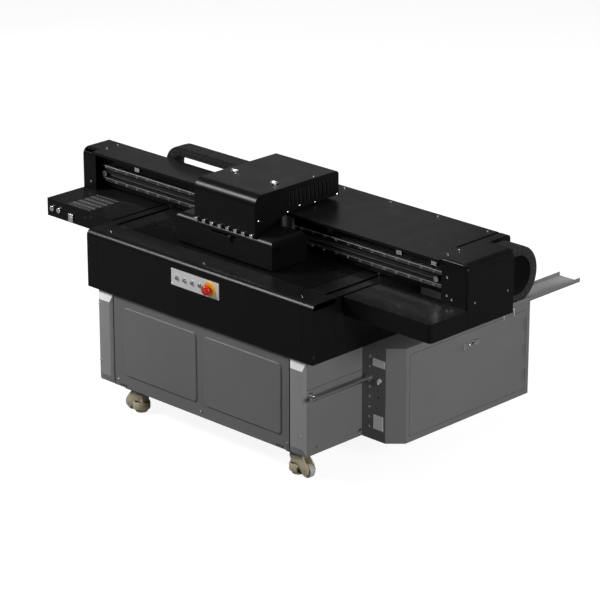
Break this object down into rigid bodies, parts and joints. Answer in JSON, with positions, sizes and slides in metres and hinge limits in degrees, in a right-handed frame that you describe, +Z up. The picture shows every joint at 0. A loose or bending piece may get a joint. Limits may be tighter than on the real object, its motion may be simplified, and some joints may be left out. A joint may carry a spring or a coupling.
{
  "type": "flatbed uv printer",
  "caption": "Flatbed UV printer: wheeled cabinet with a vacuum table, and a moving gantry that carries a wide print head carriage, with energy chains and a side control cabinet.",
  "frame": {"origin": "middle of the footprint, on the floor", "axes": "+X along the gantry beam to the operator's right, +Y from the front to the back, +Z up"},
  "size_m": [2.0296, 1.087, 0.9883],
  "materials": {
    "powder_black": "semi-matte black powder coat with fine orange peel",
    "paint_grey": "smooth mid-grey paint",
    "paint_light": "light grey paint",
    "table_alloy": "satin anodised aluminium",
    "alloy": "brushed extruded aluminium",
    "rail_steel": "ground rail steel",
    "panel_steel": "brushed stainless sheet",
    "screw_steel": "bright nickel plate",
    "chain_plastic": "matt black nylon",
    "belt_rubber": "black toothed belt",
    "red_plastic": "glossy red moulding",
    "yellow_plastic": "glossy yellow moulding",
    "button_plastic": "grey push cap",
    "ivory_plastic": "ivory nylon",
    "wheel_nylon": "grey nylon tread",
    "white_sheet": "plain white plate"
  },
  "bodies": {
    "base": {"base_frame": "paint_grey", "base_panel_front": "paint_grey", "base_side_panels": "paint_grey", "corner_columns": "paint_grey", "apron_front": "powder_black", "apron_sides": "powder_black", "deck_panel": "powder_black", "vacuum_table": "table_alloy", "y_rails": "rail_steel", "y_motor": "powder_black", "control_plate": "panel_steel", "estop_collar": "yellow_plastic", "cabinet_panels": "paint_grey", "cabinet_plates": "white_sheet", "side_bar": "alloy", "chain_tray": "paint_light", "power_supply": "alloy", "base_screws": "screw_steel"},
    "y_screw": {"y_screw": "rail_steel"},
    "button_1": {"button_1": "button_plastic"},
    "button_2": {"button_2": "button_plastic"},
    "button_3": {"button_3": "button_plastic"},
    "button_4": {"button_4": "button_plastic"},
    "estop": {"estop_head": "red_plastic"},
    "door": {"cabinet_door": "paint_grey"},
    "latch": {"door_latch": "screw_steel"},
    "gantry": {"beam": "powder_black", "x_rails": "rail_steel", "end_cover_left": "powder_black", "end_cover_right": "powder_black", "housing_left": "powder_black", "housing_right": "powder_black", "top_cover": "powder_black", "chain_trough": "powder_black", "gantry_legs": "rail_steel", "x_motor": "powder_black", "x_belt": "belt_rubber", "gantry_screws": "screw_steel"},
    "pulley_drive": {"x_pulley_drive": "alloy"},
    "pulley_idler": {"x_pulley_idler": "alloy"},
    "box_latch": {"housing_latch": "screw_steel"},
    "chain_y": {"y_chain": "chain_plastic"},
    "chain_y_core": {"y_chain_core": "chain_plastic"},
    "chain_x": {"x_chain": "chain_plastic"},
    "chain_x_core": {"x_chain_core": "chain_plastic"},
    "carriage": {"carriage_plate": "alloy"},
    "head": {"carriage_cover": "powder_black", "head_body": "powder_black", "print_heads": "alloy"},
    "knob_left": {"lid_knob_left": "screw_steel"},
    "knob_right": {"lid_knob_right": "screw_steel"},
    "slider": {"head_slider": "powder_black"},
    "swivel_front_left": {"caster_front_left": "ivory_plastic"},
    "roller_front_left": {"wheel_front_left": "wheel_nylon"},
    "swivel_front_right": {"caster_front_right": "ivory_plastic"},
    "roller_front_right": {"wheel_front_right": "wheel_nylon"},
    "swivel_back_left": {"caster_back_left": "ivory_plastic"},
    "roller_back_left": {"wheel_back_left": "wheel_nylon"},
    "swivel_back_right": {"caster_back_right": "ivory_plastic"},
    "roller_back_right": {"wheel_back_right": "wheel_nylon"}
  },
  "joints": [
    {"name": "gantry_y", "type": "slide", "parent": "base", "child": "gantry", "axis": [0, 1, 0], "range_m": [-0.17, 0.4]},
    {"name": "carriage_x", "type": "slide", "parent": "gantry", "child": "carriage", "axis": [1, 0, 0], "range_m": [-0.6, 0.6]},
    {"name": "head_lift", "type": "slide", "parent": "carriage", "child": "head", "axis": [0, 0, 1], "range_m": [-0.005, 0.06]},
    {"name": "chain_x_roll", "type": "slide", "parent": "gantry", "child": "chain_x", "axis": [1, 0, 0], "range_m": [-0.3, 0.3]},
    {"name": "chain_x_core_run", "type": "slide", "parent": "gantry", "child": "chain_x_core", "axis": [1, 0, 0], "range_m": [-0.4435, 0.4435]},
    {"name": "chain_y_roll", "type": "slide", "parent": "base", "child": "chain_y", "axis": [0, 1, 0], "range_m": [-0.085, 0.2]},
    {"name": "chain_y_core_run", "type": "slide", "parent": "base", "child": "chain_y_core", "axis": [0, 1, 0], "range_m": [-0.112, 0.2633]},
    {"name": "y_screw_turn", "type": "hinge", "parent": "base", "child": "y_screw", "pos_m": [-0.01675, -0.0125, 0.57], "axis": [0, 1, 0], "continuous": true},
    {"name": "pulley_drive_turn", "type": "hinge", "parent": "gantry", "child": "pulley_drive", "pos_m": [0.84125, -0.1415, 0.776], "axis": [0, 1, 0], "continuous": true},
    {"name": "pulley_idler_turn", "type": "hinge", "parent": "gantry", "child": "pulley_idler", "pos_m": [-0.91675, -0.1415, 0.776], "axis": [0, 1, 0], "continuous": true},
    {"name": "button_1_press", "type": "slide", "parent": "base", "child": "button_1", "axis": [0, 1, 0], "range_m": [0, 0.004], "stiffness_N_per_m": 300},
    {"name": "button_2_press", "type": "slide", "parent": "base", "child": "button_2", "axis": [0, 1, 0], "range_m": [0, 0.004], "stiffness_N_per_m": 300},
    {"name": "button_3_press", "type": "slide", "parent": "base", "child": "button_3", "axis": [0, 1, 0], "range_m": [0, 0.004], "stiffness_N_per_m": 300},
    {"name": "button_4_press", "type": "slide", "parent": "base", "child": "button_4", "axis": [0, 1, 0], "range_m": [0, 0.004], "stiffness_N_per_m": 300},
    {"name": "estop_press", "type": "slide", "parent": "base", "child": "estop", "axis": [0, 1, 0], "range_m": [0, 0.006]},
    {"name": "door_swing", "type": "hinge", "parent": "base", "child": "door", "pos_m": [0.71265, 0.521, 0.285], "axis": [0, 0, 1], "range_deg": [0, 110]},
    {"name": "latch_turn", "type": "hinge", "parent": "door", "child": "latch", "pos_m": [0.71525, 0.2275, 0.397], "axis": [1, 0, 0], "range_deg": [0, 90]},
    {"name": "box_latch_tip", "type": "hinge", "parent": "gantry", "child": "box_latch", "pos_m": [-0.87375, -0.368, 0.668], "axis": [1, 0, 0], "range_deg": [-60, 0]},
    {"name": "knob_left_turn", "type": "hinge", "parent": "head", "child": "knob_left", "pos_m": [-0.11675, -0.2095, 0.983], "axis": [0, 0, 1], "range_deg": [0, 90]},
    {"name": "knob_right_turn", "type": "hinge", "parent": "head", "child": "knob_right", "pos_m": [0.09125, -0.2095, 0.983], "axis": [0, 0, 1], "range_deg": [0, 90]},
    {"name": "slider_move", "type": "slide", "parent": "head", "child": "slider", "axis": [1, 0, 0], "range_m": [-0.085, 0.02]},
    {"name": "swivel_front_left_turn", "type": "hinge", "parent": "base", "child": "swivel_front_left", "pos_m": [-0.40175, -0.4545, 0.085], "axis": [0, 0, 1], "continuous": true},
    {"name": "roller_front_left_turn", "type": "hinge", "parent": "swivel_front_left", "child": "roller_front_left", "pos_m": [-0.43975, -0.4545, 0.026], "axis": [0, -1, 0], "continuous": true},
    {"name": "swivel_front_right_turn", "type": "hinge", "parent": "base", "child": "swivel_front_right", "pos_m": [0.46825, -0.4545, 0.085], "axis": [0, 0, 1], "continuous": true},
    {"name": "roller_front_right_turn", "type": "hinge", "parent": "swivel_front_right", "child": "roller_front_right", "pos_m": [0.50625, -0.4545, 0.026], "axis": [0, 1, 0], "continuous": true},
    {"name": "swivel_back_left_turn", "type": "hinge", "parent": "base", "child": "swivel_back_left", "pos_m": [-0.40175, 0.4875, 0.085], "axis": [0, 0, 1], "continuous": true},
    {"name": "roller_back_left_turn", "type": "hinge", "parent": "swivel_back_left", "child": "roller_back_left", "pos_m": [-0.40175, 0.4495, 0.026], "axis": [1, 0, 0], "continuous": true},
    {"name": "swivel_back_right_turn", "type": "hinge", "parent": "base", "child": "swivel_back_right", "pos_m": [0.46825, 0.4875, 0.085], "axis": [0, 0, 1], "continuous": true},
    {"name": "roller_back_right_turn", "type": "hinge", "parent": "swivel_back_right", "child": "roller_back_right", "pos_m": [0.46825, 0.4495, 0.026], "axis": [1, 0, 0], "continuous": true}
  ],
  "couplings": [
    {"joint": "chain_x_roll", "follows": "carriage_x", "ratio": 0.5},
    {"joint": "chain_x_core_run", "follows": "carriage_x", "ratio": 0.739},
    {"joint": "chain_y_roll", "follows": "gantry_y", "ratio": 0.5},
    {"joint": "chain_y_core_run", "follows": "gantry_y", "ratio": 0.658},
    {"joint": "y_screw_turn", "follows": "gantry_y", "rad_per_m": 251.33},
    {"joint": "pulley_drive_turn", "follows": "carriage_x", "rad_per_m": 90.909},
    {"joint": "pulley_idler_turn", "follows": "carriage_x", "rad_per_m": 90.909}
  ]
}
